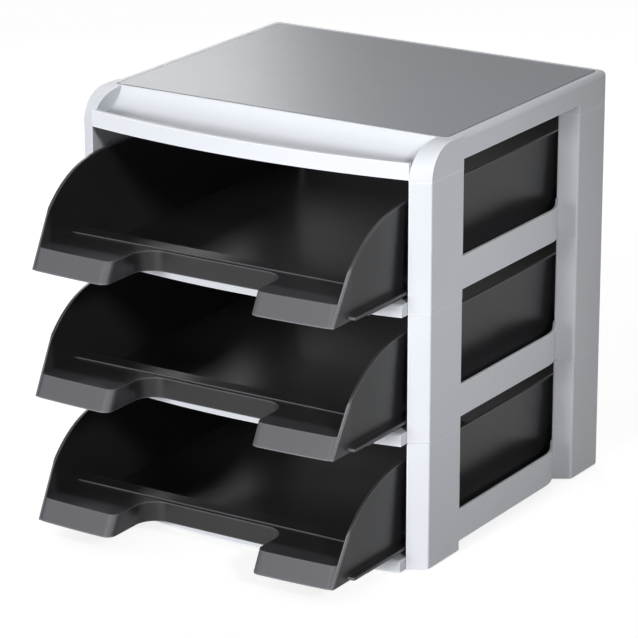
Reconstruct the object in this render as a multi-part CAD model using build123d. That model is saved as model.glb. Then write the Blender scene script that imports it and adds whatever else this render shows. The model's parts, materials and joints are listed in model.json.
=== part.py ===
from build123d import *
import os
from math import radians, tan

# Letter tray stack with drawers: three tiers of side mouldings and tie bars plug into each other,
# a letter tray slides in each tier, and a cap with a pen trough closes the top.
# Millimetres. X is to the right, Y to the back, Z up; the origin is under the middle of the footprint.

# ---------------------------------------------------------------- whole stack
frame_width = 290.0          # over the outer faces of the posts
frame_depth = 255.0          # from the front of the side faces to the rear faces
tier_pitch = 94.0            # height that one tier adds
cap_height = 24.0            # from the uppermost seam to the top
foot_proud = 1.0             # what a rubber foot shows under its post
fit_gap = 0.3                # running clearance, and clearance of plugged joints
skin = 2.5                   # wall of the frame mouldings
overcut = 1.0                # how far a cut reaches past the face that it opens
tiers = ["lower", "middle", "upper"]

# ---------------------------------------------------------------- side mouldings
post_thickness = 13.5        # outer face to inner face
front_post_depth = 43.0
post_nose = 8.5              # how far a front post's inner edge stands in front of its outer edge
outer_edge_radius = 2.0
rear_post_depth = 44.0
rear_corner_radius = 7.0
bevel_run = 7.6              # length of the bevel in front of the rear post
groove_sweep = 23.0          # length over which the rail runs inwards to that bevel
groove_radius = 40.0         # of the soft turn at the start of that sweep
groove_wall = 1.6            # wall left at the bottom of the groove
rail_lift = 7.0              # a post reaches this far below its rail, as a foot
rail_height = 24.0
rib_thickness = 1.8
rail_ribs = 5
spigot_height = 5.0
spigot_lead = 0.8            # chamfer that leads a spigot in

# ---------------------------------------------------------------- runners
tray_lift = 9.5              # underside of a tray over its tier's base plane
ledge_reach = 12.0           # inwards from a post's inner face
keeper_reach = 3.0
keeper_thickness = 2.0
runner_drop = 5.0            # underside of a tray's runner flange over the tray's underside
runner_thickness = 2.0
runner_side_gap = 0.9        # beside the post's inner face
keeper_gap = 0.6             # above the runner flange
runner_start = 22.0          # from the tray's nose to the start of its runner
stop_block_back = 44.6       # rear of the stop block, behind the front of the side faces
stop_length = 6.0            # of that block
stop_tab_length = 3.0        # of the tab on a tray's runner that meets it
stop_drop = 1.0              # top of the stop block under the runner flange
stop_slack = 0.7             # left at the stop when a tray is fully out

# ---------------------------------------------------------------- letter tray
tray_side_gap = 4.0          # from a tray's rim to the posts' inner faces
tray_nose_reach = 97.5       # of a closed tray's nose, in front of the side faces
tray_headroom = 14.5         # from a tray's rim to the base plane of the tier above
tray_wall = 2.2
tray_floor = 2.0
tray_draft = 2.4             # degrees that the side walls lean out
tray_corner_radius = 9.0
lug_top = 18.0               # over the tray's underside
lug_bottom = 3.0
lug_rake = 8.0               # how far the foot of the lug's face stands in front of its head
lug_corner_radius = 7.0
lug_bow = 3.0                # how far the middle of the front edge stands in front of its ends
recess_width = 118.0
recess_depth = 48.5          # from the nose to the back of the finger recess
recess_corner_radius = 16.0
shelf_length = 64.0          # from the nose to the drop to the tray's floor
shelf_step_length = 51.5     # from the nose to the low step on the shelf
shelf_step = 1.0
wall_sweep = 97.0            # from the nose to where a side wall reaches its full height
wall_rise_angle = 58.0       # of the side wall's curve at the lug

# ---------------------------------------------------------------- tie bars
front_bar_height = 9.0
front_bar_end_reach = 16.0   # in front of the side faces, at the posts
front_bar_mid_reach = 29.0   # in front of the side faces, in the middle
front_bar_back = 10.0        # behind the front of the side faces
front_bar_edge_radius = 2.2
rear_bar_depth = 15.0
rear_bar_foot = 2.0          # under the rear bar
rear_stop_height = 26.0      # of the upstand behind the tray
rear_stop_thickness = 2.4
tongue_length = 10.0
tongue_height = 4.0
tongue_lift = 2.5

# ---------------------------------------------------------------- cap, pen trough and panel
cheek_run = 25.0             # from the side faces' front to where the cheek reaches the top
cheek_foot = 1.0             # upright part of the cheek under its rounding
lip_bottom = 2.0             # over the uppermost seam
lip_height = 12.0
lip_thickness = 3.0
lip_mid_reach = 21.6
trough_floor = 7.0           # over the uppermost seam
trough_floor_end = 12.0      # behind the front of the side faces
trough_wall_top = 28.5       # where the sloping wall behind the trough reaches the top
trough_fillet = 9.0
panel_front = 31.0
panel_side_margin = 7.0      # frame's outer face to the panel's edge
panel_rear_margin = 7.5
panel_thickness = 2.4
panel_groove = 0.8           # gap round the panel
panel_proud = 0.3
panel_corner_radius = 4.0
panel_edge_radius = 0.8
rim_edge_radius = 3.5
cap_ribs = 4
cap_rib_height = 6.0

# ---------------------------------------------------------------- derived places
outer_x = frame_width / 2
inner_x = outer_x - post_thickness
valley_x = inner_x + groove_wall
base_of = {name: foot_proud + i * tier_pitch for i, name in enumerate(tiers)}
top_seam = foot_proud + len(tiers) * tier_pitch
top_z = top_seam + cap_height
bevel_end = frame_depth - rear_post_depth
bevel_start = bevel_end - bevel_run
groove_start = bevel_start - groove_sweep
ledge_top = tray_lift - fit_gap
keeper_bottom = tray_lift + runner_drop + runner_thickness + keeper_gap
runner_x = inner_x - runner_side_gap
tray_rear = frame_depth - rear_stop_thickness - fit_gap
tray_nose = -tray_nose_reach
tray_length = tray_rear - tray_nose
tray_width = 2 * (inner_x - tray_side_gap)
tray_height = tier_pitch - tray_lift - tray_headroom
stop_tab_front = tray_rear - tray_corner_radius - stop_tab_length
tray_travel = stop_tab_front - stop_block_back - stop_slack        # closed to fully out


def prism(sketch, low, high):
    """A plan drawing raised from one height to another."""
    return extrude(Pos(0, 0, low) * sketch, high - low)


def side_prism(outline, half_width):
    """A Y-Z drawing, given as a face in the YZ plane, stretched across the object."""
    return extrude(Pos(-half_width, 0, 0) * outline, 2 * half_width, dir=(1, 0, 0))


def block(x0, x1, y0, y1, z0, z1):
    return Pos((x0 + x1) / 2, (y0 + y1) / 2, (z0 + z1) / 2) * Box(x1 - x0, y1 - y0, z1 - z0)


def yz_face(*edges):
    return make_face(Curve() + list(edges))


def mirrored(shape):
    return mirror(shape, about=Plane.YZ)


# ---------------------------------------------------------------- post sections, right-hand side
def front_post_plan():
    """Slanted front face between the outer side face and the inner face."""
    plan = make_face(Polyline(
        (outer_x, front_post_depth), (outer_x, 0), (inner_x, -post_nose), (inner_x, front_post_depth),
        close=True))
    outer_corner = plan.vertices().sort_by_distance((outer_x, 0))[0]
    return fillet(outer_corner, outer_edge_radius)


def rear_post_plan():
    """Bevel, outer face, rounded rear corner, rear face."""
    plan = make_face(Polyline(
        (inner_x, bevel_start), (valley_x, bevel_start), (outer_x, bevel_end), (outer_x, frame_depth),
        (inner_x, frame_depth), close=True))
    rear_corner = plan.vertices().sort_by_distance((outer_x, frame_depth))[0]
    plan = fillet(rear_corner, rear_corner_radius)
    bevel_corner = plan.vertices().sort_by_distance((outer_x, bevel_end))[0]
    return fillet(bevel_corner, outer_edge_radius)


def rail_plan():
    """Straight outer face that turns softly inwards, down to the groove before the bevel."""
    plan = make_face(Polyline(
        (outer_x, front_post_depth - skin), (outer_x, groove_start), (valley_x, bevel_start),
        (inner_x, bevel_start), (inner_x, front_post_depth - skin), close=True))
    turn = plan.vertices().sort_by_distance((outer_x, groove_start))[0]
    return fillet(turn, groove_radius)


def hollow_post(plan, base, height, with_spigot):
    """A tube that is open underneath, where the spigot of the tier below goes in."""
    cavity = offset(plan, -skin, kind=Kind.INTERSECTION)
    post = prism(plan, base, base + height) - prism(cavity, base - overcut, base + height - skin)
    if with_spigot:
        plug = offset(plan, -skin - fit_gap, kind=Kind.INTERSECTION)
        spigot = prism(plug, base + height - skin, base + height + spigot_height)
        spigot = chamfer(spigot.faces().sort_by(Axis.Z)[-1].edges(), spigot_lead)
        post += spigot
    return post


# ---------------------------------------------------------------- side moulding of a tier
def socket_for(y_middle, base, clearance):
    """The tongue of a tie bar, or with clearance the slot for it in a post's inner wall."""
    return block(inner_x - skin, inner_x + skin, y_middle - tongue_length / 2 - clearance,
                 y_middle + tongue_length / 2 + clearance, base + tongue_lift - clearance,
                 base + tongue_lift + tongue_height + clearance)


front_tongue_y = front_bar_back - tongue_length / 2 - skin
rear_tongue_y = frame_depth - rear_stop_thickness - rear_bar_depth / 2


def side_moulding(base):
    side = hollow_post(front_post_plan(), base, tier_pitch, True)
    side += hollow_post(rear_post_plan(), base, tier_pitch, True)

    # rail: an outer wall on a flat bottom, open on top and inside, with a keeper web at mid height
    plan = rail_plan()
    low = base + rail_lift
    web = base + keeper_bottom
    rail = prism(plan, low, low + rail_height)
    pocket = Pos(-skin, 0, 0) * plan
    rail -= prism(pocket, base + ledge_top, low + 2 * rail_height)
    side += rail
    side += prism(plan, web, web + keeper_thickness)
    side += block(inner_x - keeper_reach, inner_x + skin / 2, front_post_depth / 4,
                  frame_depth - rear_post_depth / 2, web, web + keeper_thickness)
    for i in range(rail_ribs):
        y = front_post_depth + (i + 0.5) * (groove_start - front_post_depth) / rail_ribs
        side += block(inner_x, outer_x - skin / 2, y - rib_thickness / 2, y + rib_thickness / 2, low, web)

    # ledge that the tray runs on, and the block that stops the tray's tab
    side += block(inner_x - ledge_reach, inner_x + skin / 2, front_bar_back + fit_gap,
                  frame_depth - rear_stop_thickness - rear_bar_depth - fit_gap, low, base + ledge_top)
    side += block(inner_x - keeper_reach, inner_x + skin / 2, stop_block_back - stop_length,
                  stop_block_back, low, base + tray_lift + runner_drop - stop_drop)

    for y in (front_tongue_y, rear_tongue_y):
        side -= socket_for(y, base, fit_gap)
    return side


# ---------------------------------------------------------------- tie bars of a tier
def bowed_plan(end_y, middle_y, back_y, half_width):
    edges = [
        ThreePointArc((-half_width, end_y), (0, middle_y), (half_width, end_y)),
        Line((half_width, end_y), (half_width, back_y)),
        Line((half_width, back_y), (-half_width, back_y)),
        Line((-half_width, back_y), (-half_width, end_y)),
    ]
    return make_face(Curve() + edges)


def front_bar(base):
    """Bowed bar in front of the ledges: a trough that is open underneath, with two tongues."""
    half = inner_x - fit_gap
    outer = prism(bowed_plan(-front_bar_end_reach, -front_bar_mid_reach, front_bar_back, half),
                  base, base + front_bar_height)
    front_edges = outer.edges().group_by(Axis.Z)[-1].filter_by(GeomType.CIRCLE)
    outer = fillet(front_edges, front_bar_edge_radius)
    inner = prism(bowed_plan(skin - front_bar_end_reach, skin - front_bar_mid_reach,
                             front_bar_back - skin, half - skin), base - overcut, base + front_bar_height - skin)
    bar = outer - inner
    for i in (-1, 0, 1):
        bar += block(i * half / 2 - rib_thickness / 2, i * half / 2 + rib_thickness / 2,
                     skin - front_bar_end_reach, front_bar_back - skin / 2,
                     base + skin, base + front_bar_height - skin / 2)
    tongue = socket_for(front_tongue_y, base, 0.0)
    return bar + tongue + mirrored(tongue)


def rear_bar(base):
    """Low channel between the rear posts, with an upstand that stops the closed tray."""
    half = inner_x - fit_gap
    back = frame_depth
    front = back - rear_stop_thickness - rear_bar_depth
    top = base + ledge_top
    bar = block(-half, half, front, back, base + rear_bar_foot, top)
    bar -= block(-half + skin, half - skin, front + skin, back - rear_stop_thickness,
                 base, top - skin)
    upstand = block(-half, half, back - rear_stop_thickness, back, base + rear_bar_foot,
                    base + rear_stop_height)
    upper_corners = upstand.edges().filter_by(Axis.Y).group_by(Axis.Z)[-1]
    bar += fillet(upper_corners, rear_corner_radius)
    tongue = socket_for(rear_tongue_y, base, 0.0)
    return bar + tongue + mirrored(tongue)


# ---------------------------------------------------------------- letter tray
def tray_half(z_over_underside):
    """Half width over the outside of the tray's walls, at a height over its underside."""
    return tray_width / 2 - (tray_height - z_over_underside) * tan(radians(tray_draft))


def tray_tub(inset, rear):
    """Tub with leaning side walls and rounded rear corners, long enough to run out past the nose."""
    low = -tray_floor
    high = tray_height + tray_floor
    section = Plane.XZ * make_face(Polyline(
        (inset - tray_half(low), low), (tray_half(low) - inset, low),
        (tray_half(high) - inset, high), (inset - tray_half(high), high), close=True))
    length = 2 * tray_length
    tub = extrude(Pos(0, rear - length, 0) * section, length, dir=(0, 1, 0))
    rear_corners = tub.faces().sort_by(Axis.Y)[-1].edges().sort_by(lambda edge: abs(edge.center().X))[-2:]
    return fillet(rear_corners, tray_corner_radius - inset)


def wall_profile():
    """Side view of the tray: raked nose, curve up to the rim, level rim, upright rear."""
    head = (0, tray_nose + lug_rake, lug_top)
    rim_start = (0, tray_nose + wall_sweep, tray_height)
    rise = radians(wall_rise_angle)
    return yz_face(
        Line((0, tray_rear, 0), (0, tray_nose + recess_depth, 0)),
        Line((0, tray_nose + recess_depth, 0), (0, tray_nose, lug_bottom)),
        Line((0, tray_nose, lug_bottom), head),
        Spline(head, rim_start, tangents=[(0, 1, tan(rise)), (0, 1, 0)]),
        Line(rim_start, (0, tray_rear, tray_height)),
        Line((0, tray_rear, tray_height), (0, tray_rear, 0)),
    )


def front_plan(inset):
    """Plan of one grip lug at its foot, right-hand side, reaching back under the shelf."""
    outer = tray_half(lug_top) - inset
    inner = recess_width / 2 + inset
    nose = tray_nose + inset
    plan = make_face(Curve() + [
        ThreePointArc((inner, nose), ((inner + outer) / 2, nose + lug_bow / 4), (outer, nose + lug_bow)),
        Line((outer, nose + lug_bow), (outer, tray_nose + shelf_length - inset)),
        Line((outer, tray_nose + shelf_length - inset), (inner, tray_nose + shelf_length - inset)),
        Line((inner, tray_nose + shelf_length - inset), (inner, nose)),
    ])
    return fillet(plan.vertices().group_by(Axis.Y)[0] + plan.vertices().sort_by_distance((outer, nose))[:1],
                  lug_corner_radius - inset)


def bridge_plan(inset):
    """Plan of the shelf behind the finger recess, with the recess's two hollow corners."""
    back = tray_nose + shelf_length - inset
    front = tray_nose + recess_depth + inset
    half = recess_width / 2 + inset
    radius = recess_corner_radius + inset
    side = half + recess_corner_radius
    return make_face(Curve() + [
        Line((-side, back), (side, back)),
        Line((side, back), (side, front - radius)),
        Line((side, front - radius), (half, front - radius)),
        ThreePointArc((half, front - radius), (half - radius * (1 - 0.5 ** 0.5), front - radius * (1 - 0.5 ** 0.5)),
                      (half - radius, front)),
        Line((half - radius, front), (radius - half, front)),
        ThreePointArc((radius - half, front), (radius * (1 - 0.5 ** 0.5) - half,
                      front - radius * (1 - 0.5 ** 0.5)), (-half, front - radius)),
        Line((-half, front - radius), (-side, front - radius)),
        Line((-side, front - radius), (-side, back)),
    ])


def grip_front(inset, low, high):
    """Two raked lugs and the bridge between them."""
    lean = lug_rake / (lug_top - lug_bottom)
    rise = high - low
    lug = extrude(Pos(0, (low - lug_bottom) * lean, low) * front_plan(inset),
                  rise * (1 + lean ** 2) ** 0.5, dir=(0, lean, 1))
    front = lug + mirrored(lug) + prism(bridge_plan(inset), low, high)
    return front & block(-tray_width, tray_width, tray_nose - tray_length,
                         tray_nose + shelf_length - inset, low, high)


def raked_outline():
    """Solid that trims the front ends of the side walls to the lugs' rounded, raked corners."""
    lean = lug_rake / (lug_top - lug_bottom)
    half = tray_width / 2
    plan = bowed_plan(tray_nose + lug_bow, tray_nose, tray_rear, half)
    plan = fillet(plan.vertices().group_by(Axis.Y)[0], lug_corner_radius)
    rise = tray_height + tray_floor - lug_bottom
    raked = extrude(Pos(0, 0, lug_bottom) * plan, rise * (1 + lean ** 2) ** 0.5, dir=(0, lean, 1))
    return raked + block(-half, half, tray_nose + recess_depth, tray_rear, -tray_floor, 2 * tray_height)


def letter_tray(base):
    outside = tray_tub(0, tray_rear)
    inside = tray_tub(tray_wall, tray_rear - tray_wall)
    shelf_back = tray_nose + shelf_length
    body = side_prism(wall_profile(), tray_width) & outside & raked_outline()
    body -= inside & block(-tray_width, tray_width, -tray_length, tray_length, tray_floor, 2 * tray_height)

    # the grip lugs replace the open front: cut the tub's floor away, then add the shelf
    body -= inside & block(-tray_width, tray_width, -tray_length, shelf_back - tray_wall,
                           -overcut, 2 * tray_height)
    lugs = grip_front(0, lug_bottom, lug_top) & outside
    lugs += block(-tray_half(0) + tray_wall / 2, tray_half(0) - tray_wall / 2, shelf_back - 2 * tray_wall,
                  shelf_back, 0, lug_top)
    lugs += block(-tray_half(lug_top) + tray_wall / 2, tray_half(lug_top) - tray_wall / 2,
                  tray_nose + shelf_step_length, shelf_back, lug_top - tray_wall, lug_top + shelf_step)
    body += lugs
    body -= grip_front(tray_wall, -overcut, lug_top - tray_wall)

    # runner flanges along the lower edges, with a stop tab at the rear end of each
    low = runner_drop
    high = runner_drop + runner_thickness
    flange = block(tray_half(0) - tray_wall / 2, runner_x, tray_nose + runner_start,
                   tray_rear - tray_corner_radius, low, high)
    flange = fillet(flange.edges().filter_by(Axis.Z).group_by(Axis.Y)[0].sort_by(Axis.X)[-1], runner_thickness)
    tab = block(inner_x - keeper_reach + fit_gap, runner_x, stop_tab_front,
                tray_rear - tray_corner_radius, fit_gap, high)
    runner = flange + tab
    body += runner + mirrored(runner)

    return Pos(0, 0, base + tray_lift) * body


# ---------------------------------------------------------------- cap
def cheek_profile(x, nose):
    """Side view of a cheek at one X: upright front that rounds back to the top."""
    bend = top_seam + cheek_foot
    cheek_height = cap_height - cheek_foot
    back = front_post_depth
    return Plane.YZ.offset(x) * make_face(Curve() + [
        Line((back, top_seam), (-nose, top_seam)),
        Line((-nose, top_seam), (-nose, bend)),
        EllipticalCenterArc((cheek_run, bend), cheek_run + nose, cheek_height, start_angle=90, arc_size=90),
        Line((cheek_run, top_z), (back, top_z)),
        Line((back, top_z), (back, top_seam)),
    ])


def cheek():
    """Quarter-round front end of the cap's side, slanted in plan like the post below it."""
    return loft([cheek_profile(inner_x, post_nose), cheek_profile(outer_x, 0)], ruled=True)


def trough_space():
    """Everything above the pen trough's floor and its sloping rear wall, as a Y-Z drawing."""
    floor_z = top_seam + trough_floor
    far = -3 * lip_mid_reach
    plan = yz_face(
        Line((0, far, floor_z), (0, trough_floor_end, floor_z)),
        Line((0, trough_floor_end, floor_z), (0, trough_wall_top, top_z)),
        Line((0, trough_wall_top, top_z), (0, trough_wall_top, top_z + cap_height)),
        Line((0, trough_wall_top, top_z + cap_height), (0, far, top_z + cap_height)),
        Line((0, far, top_z + cap_height), (0, far, floor_z)),
    )
    corner = plan.vertices().sort_by_distance((0, trough_floor_end, floor_z))[0]
    return fillet(corner, trough_fillet)


def top_cap():
    deck_top = top_z - panel_thickness + panel_proud
    seat_half = outer_x - panel_side_margin + panel_groove
    seat_rear = frame_depth - panel_rear_margin + panel_groove
    skirt_low = top_seam + rail_lift

    # rim and skirt: a rounded frame whose outside is flush with the posts
    plan = Pos(0, (frame_depth + trough_wall_top) / 2) * Rectangle(frame_width, frame_depth - trough_wall_top)
    plan = fillet(plan.vertices().group_by(Axis.Y)[-1], rear_corner_radius)
    shell = prism(plan, skirt_low, top_z)
    rim_edges = shell.edges().group_by(Axis.Z)[-1].filter_by(lambda e: e.center().Y > trough_wall_top + overcut)
    shell = fillet(rim_edges, rim_edge_radius)
    hollow = Pos(0, (frame_depth + trough_wall_top) / 2) * Rectangle(
        frame_width - 2 * skin, frame_depth - trough_wall_top - 2 * skin)
    shell -= prism(hollow, skirt_low - overcut, deck_top - skin)
    seat = Pos(0, (panel_front - panel_groove + seat_rear) / 2) * Rectangle(
        2 * seat_half, seat_rear - panel_front + panel_groove)
    seat = fillet(seat.vertices(), panel_corner_radius)

    # cheeks and short post ends that carry the cap on the upper tier
    ends = cheek()
    ends += prism(rear_post_plan(), top_seam, top_z - rim_edge_radius)
    for plan in (front_post_plan(), rear_post_plan()):
        cavity = offset(plan, -skin, kind=Kind.INTERSECTION)
        ends -= prism(cavity, top_seam - overcut, top_seam + spigot_height + skin)
    ends += block(outer_x - skin, outer_x, trough_wall_top, front_post_depth + skin, skirt_low,
                  top_z - rim_edge_radius)
    cap = shell + ends + mirrored(ends)

    # bowed lip, trough floor and sloping wall between the cheeks
    half = inner_x
    outline = bowed_plan(-post_nose, -lip_mid_reach, trough_wall_top + skin, half)
    behind_lip = bowed_plan(lip_thickness - post_nose, lip_thickness - lip_mid_reach,
                            trough_wall_top + skin, half)
    lip_low = top_seam + lip_bottom
    space = side_prism(trough_space(), half + skin)
    sheet = (Pos(0, skin / 2, -skin) * space) - space
    floor = sheet & prism(outline, lip_low, top_z)
    lip = prism(outline, lip_low, lip_low + lip_height) - prism(behind_lip, lip_low - overcut, top_z)
    cap += floor + lip

    # let the panel in, and stiffen the deck underneath
    cap -= prism(seat, deck_top, top_z + overcut)
    for i in range(cap_ribs):
        y = panel_front + (i + 0.5) * (frame_depth - panel_front) / cap_ribs
        cap += block(-outer_x + skin, outer_x - skin, y - rib_thickness / 2, y + rib_thickness / 2,
                     deck_top - skin - cap_rib_height, deck_top - skin / 2)
    return cap


def top_panel():
    half = outer_x - panel_side_margin
    rear = frame_depth - panel_rear_margin
    plan = Pos(0, (panel_front + rear) / 2) * Rectangle(2 * half, rear - panel_front)
    plan = fillet(plan.vertices(), panel_corner_radius - panel_groove)
    panel = prism(plan, top_z - panel_thickness + panel_proud, top_z + panel_proud)
    return fillet(panel.faces().sort_by(Axis.Z)[-1].edges(), panel_edge_radius)


def rubber_foot(plan):
    """Plug that fills the open end of a lower post and stands a little proud of it."""
    pad = offset(plan, -skin - fit_gap, kind=Kind.INTERSECTION)
    return prism(pad, 0, foot_proud + spigot_height)


# ---------------------------------------------------------------- assembly
pieces = {"top_cap": top_cap(), "top_panel": top_panel()}
for tier in tiers:
    right = side_moulding(base_of[tier])
    pieces[tier + "_side_right"] = right
    pieces[tier + "_side_left"] = mirrored(right)
    pieces[tier + "_front_bar"] = front_bar(base_of[tier])
    pieces[tier + "_rear_bar"] = rear_bar(base_of[tier])
    pieces[tier + "_tray"] = letter_tray(base_of[tier])
for end, plan in (("front", front_post_plan()), ("rear", rear_post_plan())):
    foot = rubber_foot(plan)
    pieces["rubber_foot_" + end + "_right"] = foot
    pieces["rubber_foot_" + end + "_left"] = mirrored(foot)

boxes = [piece.bounding_box() for piece in pieces.values()]
front = min(box.min.Y for box in boxes)
rear = max(box.max.Y for box in boxes)
os.makedirs("parts", exist_ok=True)
for name, piece in pieces.items():
    export_step(Pos(0, -(front + rear) / 2, 0) * piece, "parts/" + name + ".step")
print("footprint", round(rear - front, 3), "origin at", round((front + rear) / 2, 3), "travel", tray_travel)
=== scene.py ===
import json
from math import radians
import bpy
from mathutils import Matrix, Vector

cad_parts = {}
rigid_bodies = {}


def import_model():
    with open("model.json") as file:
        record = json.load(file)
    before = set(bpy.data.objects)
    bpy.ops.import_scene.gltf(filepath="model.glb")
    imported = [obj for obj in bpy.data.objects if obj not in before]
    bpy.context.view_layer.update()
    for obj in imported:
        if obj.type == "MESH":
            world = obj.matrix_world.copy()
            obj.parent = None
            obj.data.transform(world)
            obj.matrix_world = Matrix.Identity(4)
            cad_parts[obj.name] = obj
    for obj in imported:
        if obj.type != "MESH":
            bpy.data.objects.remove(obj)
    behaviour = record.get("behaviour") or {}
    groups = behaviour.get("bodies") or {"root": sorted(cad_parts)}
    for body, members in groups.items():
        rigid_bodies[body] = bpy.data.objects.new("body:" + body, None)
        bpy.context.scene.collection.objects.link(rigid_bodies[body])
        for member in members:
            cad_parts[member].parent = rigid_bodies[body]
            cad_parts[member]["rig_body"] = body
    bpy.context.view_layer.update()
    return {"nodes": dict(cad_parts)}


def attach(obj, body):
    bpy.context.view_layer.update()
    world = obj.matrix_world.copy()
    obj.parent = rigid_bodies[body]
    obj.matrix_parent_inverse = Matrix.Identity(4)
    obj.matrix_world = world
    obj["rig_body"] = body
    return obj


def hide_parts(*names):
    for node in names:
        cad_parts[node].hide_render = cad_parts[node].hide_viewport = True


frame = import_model()


# ---------------------------------------------------------------- side mouldings
# A tier's left and right side are each one moulding of satin silver-grey polystyrene: two hollow
# posts joined by a rail whose rear end curves into a groove. The mould gives it a fine grain, and
# its edges are rounded by a few tenths of a millimetre and painted paler, as wear and as a painted
# highlight.
tiers = ["lower", "middle", "upper"]
frame_edge_radius = 0.0007
merge_distance = 2e-6        # joins the corners of a solid's loose triangles
flat_angle = 0.6             # degrees; triangles flatter than this become one face
rounded_angle = 40           # degrees; edges sharper than this are rounded
smooth_angle = 35            # degrees; edges duller than this shade as one surface
flat_face_weight = 80
pale_edge_reach = 0.0012          # how far from an edge the paler wear and painted highlight reach
satin_grey = (0.585, 0.605, 0.645)
satin_roughness = 0.44


class Wire:
    """A node's output. Arithmetic with it adds Math nodes to its finish."""

    def __init__(self, finish, socket):
        self.finish = finish
        self.socket = socket

    def other(self, name):
        return Wire(self.finish, self.socket.node.outputs[name])

    def math(self, operation, first, second):
        return self.finish.add("ShaderNodeMath", {"operation": operation}, {0: first, 1: second})

    def __add__(self, value):
        return self.math("ADD", self, value)

    def __radd__(self, value):
        return self.math("ADD", value, self)

    def __sub__(self, value):
        return self.math("SUBTRACT", self, value)

    def __rsub__(self, value):
        return self.math("SUBTRACT", value, self)

    def __mul__(self, value):
        return self.math("MULTIPLY", self, value)

    def __rmul__(self, value):
        return self.math("MULTIPLY", value, self)

    def clamped(self):
        return self.math("MINIMUM", self.math("MAXIMUM", self, 0.0), 1.0)


class Finish:
    """A material, or the studio's surround, and the nodes that make it."""

    def __init__(self, owner, surface="Principled BSDF"):
        self.owner = owner
        owner.use_nodes = True
        self.nodes = owner.node_tree.nodes
        self.links = owner.node_tree.links
        self.surface = self.nodes[surface]

    def put(self, socket, value):
        if isinstance(value, Wire):
            self.links.new(value.socket, socket)
        else:
            socket.default_value = value

    def add(self, kind, settings=None, sockets=None, output=0):
        """Adds a node, sets its settings and then the values or links of its sockets."""
        node = self.nodes.new(kind)
        for name, value in (settings or {}).items():
            setattr(node, name, value)
        for name, value in (sockets or {}).items():
            self.put(node.inputs[name], value)
        return Wire(self, node.outputs[output])

    def set(self, **sockets):
        for name, value in sockets.items():
            self.put(self.surface.inputs[name.replace("_", " ")], value)

    def place(self):
        return self.add("ShaderNodeTexCoord", output="Object")

    def noise(self, place, size, detail, rough=0.5):
        """Soft noise from 0 to 1 whose features are about size metres across."""
        return self.add("ShaderNodeTexNoise", None,
                        {"Vector": place, "Scale": 1 / size, "Detail": detail, "Roughness": rough}, "Fac")

    def mix(self, share, first, second):
        first_colour, second_colour, mixed_colour = 6, 7, 2
        return self.add("ShaderNodeMix", {"data_type": "RGBA"},
                        {"Factor": share, first_colour: first, second_colour: second}, mixed_colour)

    def bump(self, height, depth, normal=None):
        sockets = {"Height": height, "Strength": 1.0, "Distance": depth}
        if normal:
            sockets["Normal"] = normal
        return self.add("ShaderNodeBump", None, sockets)

    def edges(self, reach):
        """A mask that is 1 on the piece's convex edges and fades to 0 within reach metres."""
        inner = self.add("ShaderNodeAmbientOcclusion",
                         {"inside": True, "only_local": True, "samples": 6}, {"Distance": reach}, "AO")
        gain, cutoff = 2.2, 0.2
        return (gain * (1.0 - inner) - cutoff).clamped()


def deselect_all():
    for thing in bpy.context.selected_objects:
        thing.select_set(False)


def apply_modifier(piece, name, kind, **settings):
    modifier = piece.modifiers.new(name, kind)
    for setting, value in settings.items():
        setattr(modifier, setting, value)
    bpy.ops.object.modifier_apply(modifier=name)


def finished_copy(node, name, edge_radius, finish, reshape=None):
    """A copy of a CAD node with rounded edges and its finish, riding where the node rides."""
    piece = bpy.data.objects.new(name, frame["nodes"][node].data.copy())
    piece.data.materials.clear()
    bpy.context.scene.collection.objects.link(piece)
    deselect_all()
    piece.select_set(True)
    bpy.context.view_layer.objects.active = piece
    bpy.ops.object.mode_set(mode="EDIT")
    bpy.ops.mesh.select_all(action="SELECT")
    bpy.ops.mesh.remove_doubles(threshold=merge_distance)
    bpy.ops.mesh.dissolve_limited(angle_limit=radians(flat_angle))
    bpy.ops.object.mode_set(mode="OBJECT")
    if reshape:
        reshape(piece)
    apply_modifier(piece, "rounding", "BEVEL", width=edge_radius, segments=2, limit_method="ANGLE",
                   angle_limit=radians(rounded_angle), use_clamp_overlap=True)
    bpy.ops.object.shade_smooth_by_angle(angle=radians(smooth_angle))
    apply_modifier(piece, "evening", "WEIGHTED_NORMAL", keep_sharp=True, weight=flat_face_weight)
    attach(piece, frame["nodes"][node]["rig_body"])
    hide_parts(node)
    piece.data.materials.append(finish.owner)


def frame_plastic(name, colour, roughness):
    """Grained plastic of the frame, a little cloudy, and paler and smoother at its edges, as wear and as
    a painted highlight.
    """
    finish = Finish(bpy.data.materials.new(name))
    place = finish.place()
    cloud = finish.noise(place, size=0.060, detail=3.0)
    grain = finish.noise(place, size=0.0005, detail=2.0, rough=0.6)
    wear_and_highlight_patches = finish.noise(place, size=0.012, detail=4.0, rough=0.6)
    # painted highlight and wear: the convex edges are painted paler, in patches
    edge_wear_and_highlight = finish.edges(pale_edge_reach)
    darker = tuple(0.95 * part for part in colour) + (1.0,)
    paler = tuple(1.22 * part for part in colour) + (1.0,)
    plain = finish.mix(cloud, darker, colour + (1.0,))
    finish.set(Base_Color=finish.mix(edge_wear_and_highlight * (0.5 + 0.5 * wear_and_highlight_patches), plain, paler),
               Roughness=roughness - 0.05 + 0.06 * wear_and_highlight_patches + 0.05 * grain - 0.12 * edge_wear_and_highlight,
               Normal=finish.bump(grain, depth=0.00006))
    return finish


satin = frame_plastic("satin_silver_plastic", satin_grey, satin_roughness)
for tier in tiers:
    for side in ("left", "right"):
        moulding = tier + "_side_" + side
        finished_copy(moulding, moulding + "_moulding", frame_edge_radius, satin)


# ---------------------------------------------------------------- tie bars
# A bowed bar in front and a low channel behind hold the two sides of a tier apart. They are
# moulded from the same plastic and snap into the posts with tongues.
for tier in tiers:
    for end in ("front", "rear"):
        finished_copy(tier + "_" + end + "_bar", tier + "_" + end + "_tie_bar", frame_edge_radius, satin)


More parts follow.
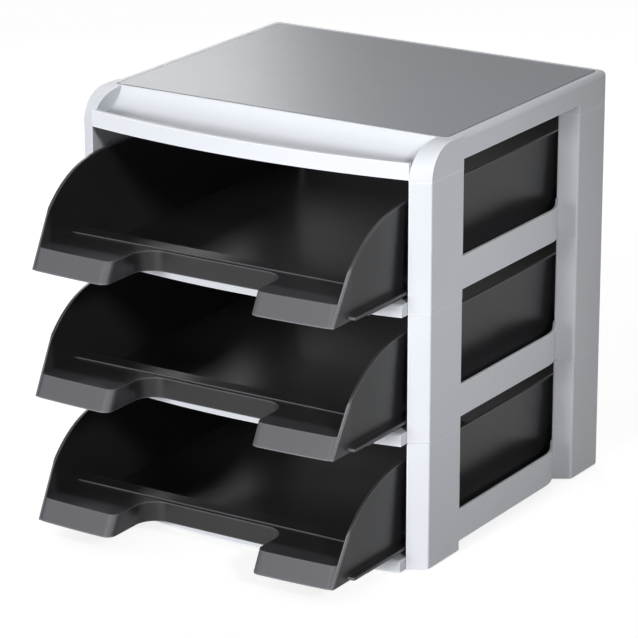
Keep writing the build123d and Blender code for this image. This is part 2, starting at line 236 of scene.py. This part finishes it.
# ---------------------------------------------------------------- letter trays
# Each tray is one black polystyrene moulding, polished all over except for the grained faces of
# its two grip lugs. Its lower edges carry the flanges that it slides on.
tray_edge_radius = 0.0006
grain_from, grain_full = -0.148, -0.156      # places along the tray, towards its front
turned_away, turned_forward = 0.35, 0.75     # how squarely a face looks forward, from 0 to 1
polished_blacks = (0.012, 0.012, 0.013, 1.0), (0.018, 0.018, 0.0195, 1.0)
grained_blacks = (0.046, 0.046, 0.052, 1.0), (0.086, 0.086, 0.096, 1.0)
# a paler grey painted along the edges, as wear and as a painted highlight
worn_highlight_black = (0.17, 0.17, 0.185, 1.0)
polished_roughness = 0.285


def eased(finish, value, low, high):
    """Rises softly from 0 to 1 as the value goes from low to high."""
    return finish.add("ShaderNodeMapRange", {"interpolation_type": "SMOOTHSTEP"},
                      {"Value": value, "From Min": low, "From Max": high})


def tray_plastic():
    finish = Finish(bpy.data.materials.new("black_tray_plastic"))
    place = finish.place()
    along = finish.add("ShaderNodeSeparateXYZ", None, {0: place}, "Y")
    facing = finish.add("ShaderNodeTexCoord", output="Normal")
    forward = 0.0 - finish.add("ShaderNodeSeparateXYZ", None, {0: facing}, "Y")
    near = eased(finish, along, grain_from, grain_full)
    front = eased(finish, forward, turned_away, turned_forward)
    lug = near * (0.4 + 0.6 * front)
    cloud = finish.noise(place, size=0.045, detail=3.0)
    wave = finish.noise(place, size=0.038, detail=1.0)
    grain = finish.noise(place, size=0.0007, detail=3.0, rough=0.65)
    wear_and_highlight_patches = finish.noise(place, size=0.009, detail=3.0, rough=0.6)
    # painted highlight and wear: the convex edges are painted a paler grey, in patches
    edge_wear_and_highlight = finish.edges(pale_edge_reach) * (0.4 + 0.6 * wear_and_highlight_patches)
    plain = finish.mix(lug, finish.mix(cloud, *polished_blacks), finish.mix(grain, *grained_blacks))
    finish.set(Base_Color=finish.mix(edge_wear_and_highlight, plain, worn_highlight_black),
               Roughness=polished_roughness + 0.07 * cloud + 0.20 * lug,
               Normal=finish.bump(grain * lug, depth=0.00012, normal=finish.bump(wave, depth=0.00020)))
    return finish


black = tray_plastic()
for tier in tiers:
    finished_copy(tier + "_tray", tier + "_letter_tray", tray_edge_radius, black)


# ---------------------------------------------------------------- cap and panel
# The cap closes the upper tier: cheeks, pen trough, bowed lip and rim are one satin moulding, and
# a smoother silver-grey plate is let into its top. A hollow sweep of one radius rises from the
# trough's floor to the deck under the plate.
panel_edge_radius = 0.0003
panel_grey = (0.190, 0.203, 0.230)
panel_roughness = 0.33
cheek_inside = 0.1315
floor_height = 0.290
deck_height = 0.307
sweep_end = -0.05027
sweep_radius = 0.032
sweep_start = sweep_end - (sweep_radius ** 2 - (sweep_radius + floor_height - deck_height) ** 2) ** 0.5
sweep_cuts = 12
hair = 0.0001                # keeps off the faces and points that lie on the trough's border
upward = 0.4                 # the floor and the slope rise more than this, from 0 to 1


def trough_faces(piece):
    """The faces of the trough's floor and of the slope behind it."""
    found = []
    for face in piece.data.polygons:
        x, y, z = face.center
        before_deck = abs(x) < cheek_inside and y < sweep_end - hair
        in_trough = floor_height - hair < z < deck_height - hair
        if before_deck and in_trough and face.normal.z > upward:
            found.append(face)
    return found


def hollow_sweep(piece):
    """Turns the slope behind the trough into one hollow sweep from the floor to the deck."""
    for i in range(sweep_cuts):
        cut = sweep_start + (sweep_end - sweep_start) * i / sweep_cuts
        for part in (piece.data.vertices, piece.data.edges, piece.data.polygons):
            part.foreach_set("select", [False] * len(part))
        for face in trough_faces(piece):
            face.select = True
        bpy.ops.object.mode_set(mode="EDIT")
        bpy.ops.mesh.select_mode(type="FACE")
        bpy.ops.mesh.bisect(plane_co=(0, cut, 0), plane_no=(0, 1, 0))
        bpy.ops.object.mode_set(mode="OBJECT")
    for number in {corner for face in trough_faces(piece) for corner in face.vertices}:
        point = piece.data.vertices[number].co
        if sweep_start < point.y < sweep_end - hair:
            rise = sweep_radius - (sweep_radius ** 2 - (point.y - sweep_start) ** 2) ** 0.5
            point.z = floor_height + rise


finished_copy("top_cap", "trough_cap", frame_edge_radius, satin, reshape=hollow_sweep)
smooth_grey = frame_plastic("smooth_panel_plastic", panel_grey, panel_roughness)
finished_copy("top_panel", "let_in_panel", panel_edge_radius, smooth_grey)


# ---------------------------------------------------------------- feet
# Four black rubber plugs are pressed into the open ends of the lower posts and stand a millimetre
# proud. Their skin is matt and finely speckled.
foot_edge_radius = 0.0003
rubber_blacks = (0.02, 0.02, 0.02, 1.0), (0.04, 0.04, 0.04, 1.0)


def foot_rubber():
    finish = Finish(bpy.data.materials.new("black_foot_rubber"))
    speckle = finish.noise(finish.place(), size=0.0008, detail=3.0)
    finish.set(Base_Color=finish.mix(speckle, *rubber_blacks), Roughness=0.8 + 0.15 * speckle,
               Normal=finish.bump(speckle, depth=0.00005))
    return finish


rubber = foot_rubber()
for end in ("front", "rear"):
    for side in ("left", "right"):
        foot = "foot_" + end + "_" + side
        finished_copy("rubber_" + foot, foot, foot_edge_radius, rubber)


# ---------------------------------------------------------------- floor
# A plain floor that reaches past every view. Its paint takes the stack's soft shadow, and a glow
# that only the camera sees in full, and glossy faces by half, makes it look white.
floor_width = 16.0
floor_paint = (0.42, 0.42, 0.42, 1.0)
unlit, white = (0.0, 0.0, 0.0, 1.0), (1.0, 1.0, 1.0, 1.0)
floor_glow = 0.78

deselect_all()
bpy.ops.mesh.primitive_plane_add(size=floor_width, location=(0, 0, 0))
floor = bpy.context.active_object
floor.name = "floor"
paint = Finish(bpy.data.materials.new("white_floor"))
seen = paint.add("ShaderNodeLightPath", output="Is Camera Ray")
mirrored = seen.other("Is Glossy Ray")
paint.set(Base_Color=floor_paint, Roughness=0.9, Emission_Strength=floor_glow,
          Emission_Color=paint.mix(seen + 0.5 * mirrored, unlit, white))
floor.data.materials.append(paint.owner)


# ---------------------------------------------------------------- studio light
# A pale surround lights all sides evenly, and a soft key lamp stands low in front. A lamp on the
# left and a narrow spot on the right side's front post fill in, and a card of light behind the
# stack gives the smooth top its gradient.
surround_light = 0.25
surround_glow = 0.75         # added where the camera looks past the stack
key_place = (-0.5, -2.0, 1.0)
key_power, key_spread = 3.28, 12
key_rise, key_left = 9, 2    # degrees above the floor, and to the left of straight ahead

surround = Finish(bpy.data.worlds.new("studio"), "Background")
seen = surround.add("ShaderNodeLightPath", output="Is Camera Ray")
mirrored = seen.other("Is Glossy Ray")
surround.set(Color=white, Strength=surround_light + surround_glow * (seen + 0.45 * mirrored))
bpy.context.scene.world = surround.owner

deselect_all()
bpy.ops.object.light_add(type="SUN", location=key_place)
key = bpy.context.active_object
key.name = "key_lamp"
key.data.energy = key_power
key.data.angle = radians(key_spread)
key.rotation_euler = (radians(90 - key_rise), 0.0, radians(-key_left))


def aimed_lamp(kind, name, place, aim, power, **settings):
    bpy.ops.object.light_add(type=kind, location=place)
    lamp = bpy.context.active_object
    lamp.name = name
    lamp.data.energy = power
    for setting, value in settings.items():
        setattr(lamp.data, setting, value)
    lamp.rotation_euler = (Vector(place) - Vector(aim)).to_track_quat("Z", "Y").to_euler()
    lamp.visible_camera = False


aimed_lamp("AREA", "left_lamp", place=(-1.6, -1.0, 0.9), aim=(0.0, -0.05, 0.18), power=3.0,
           shape="RECTANGLE", size=0.8, size_y=0.8)
aimed_lamp("SPOT", "right_lamp", place=(1.6, -1.0, 1.15), aim=(0.145, -0.10, 0.25), power=225.0,
           spot_size=radians(13), spot_blend=1.0, shadow_soft_size=0.25)
aimed_lamp("AREA", "rear_card", place=(-0.82, 0.66, 0.78), aim=(-0.20, 0.05, 0.30), power=3.9,
           shape="RECTANGLE", size=0.66, size_y=0.56)


# ---------------------------------------------------------------- camera
# A long lens at the photograph's viewing angle, to the right of the front and above it, far enough
# off to keep the photograph's gentle perspective.
camera_place = (1.3276, -2.1037, 0.9618)
camera_dip, camera_turn = 18.308, 32.16
camera_lens, camera_film = 203.13, 36.0
camera_reach = 50.0

deselect_all()
bpy.ops.object.camera_add(location=camera_place)
camera = bpy.context.active_object
camera.rotation_euler = (radians(90 - camera_dip), 0.0, radians(camera_turn))
camera.data.sensor_width = camera_film
camera.data.lens = camera_lens
camera.data.clip_end = camera_reach
bpy.context.scene.camera = camera
bpy.context.scene.view_settings.view_transform = "Standard"
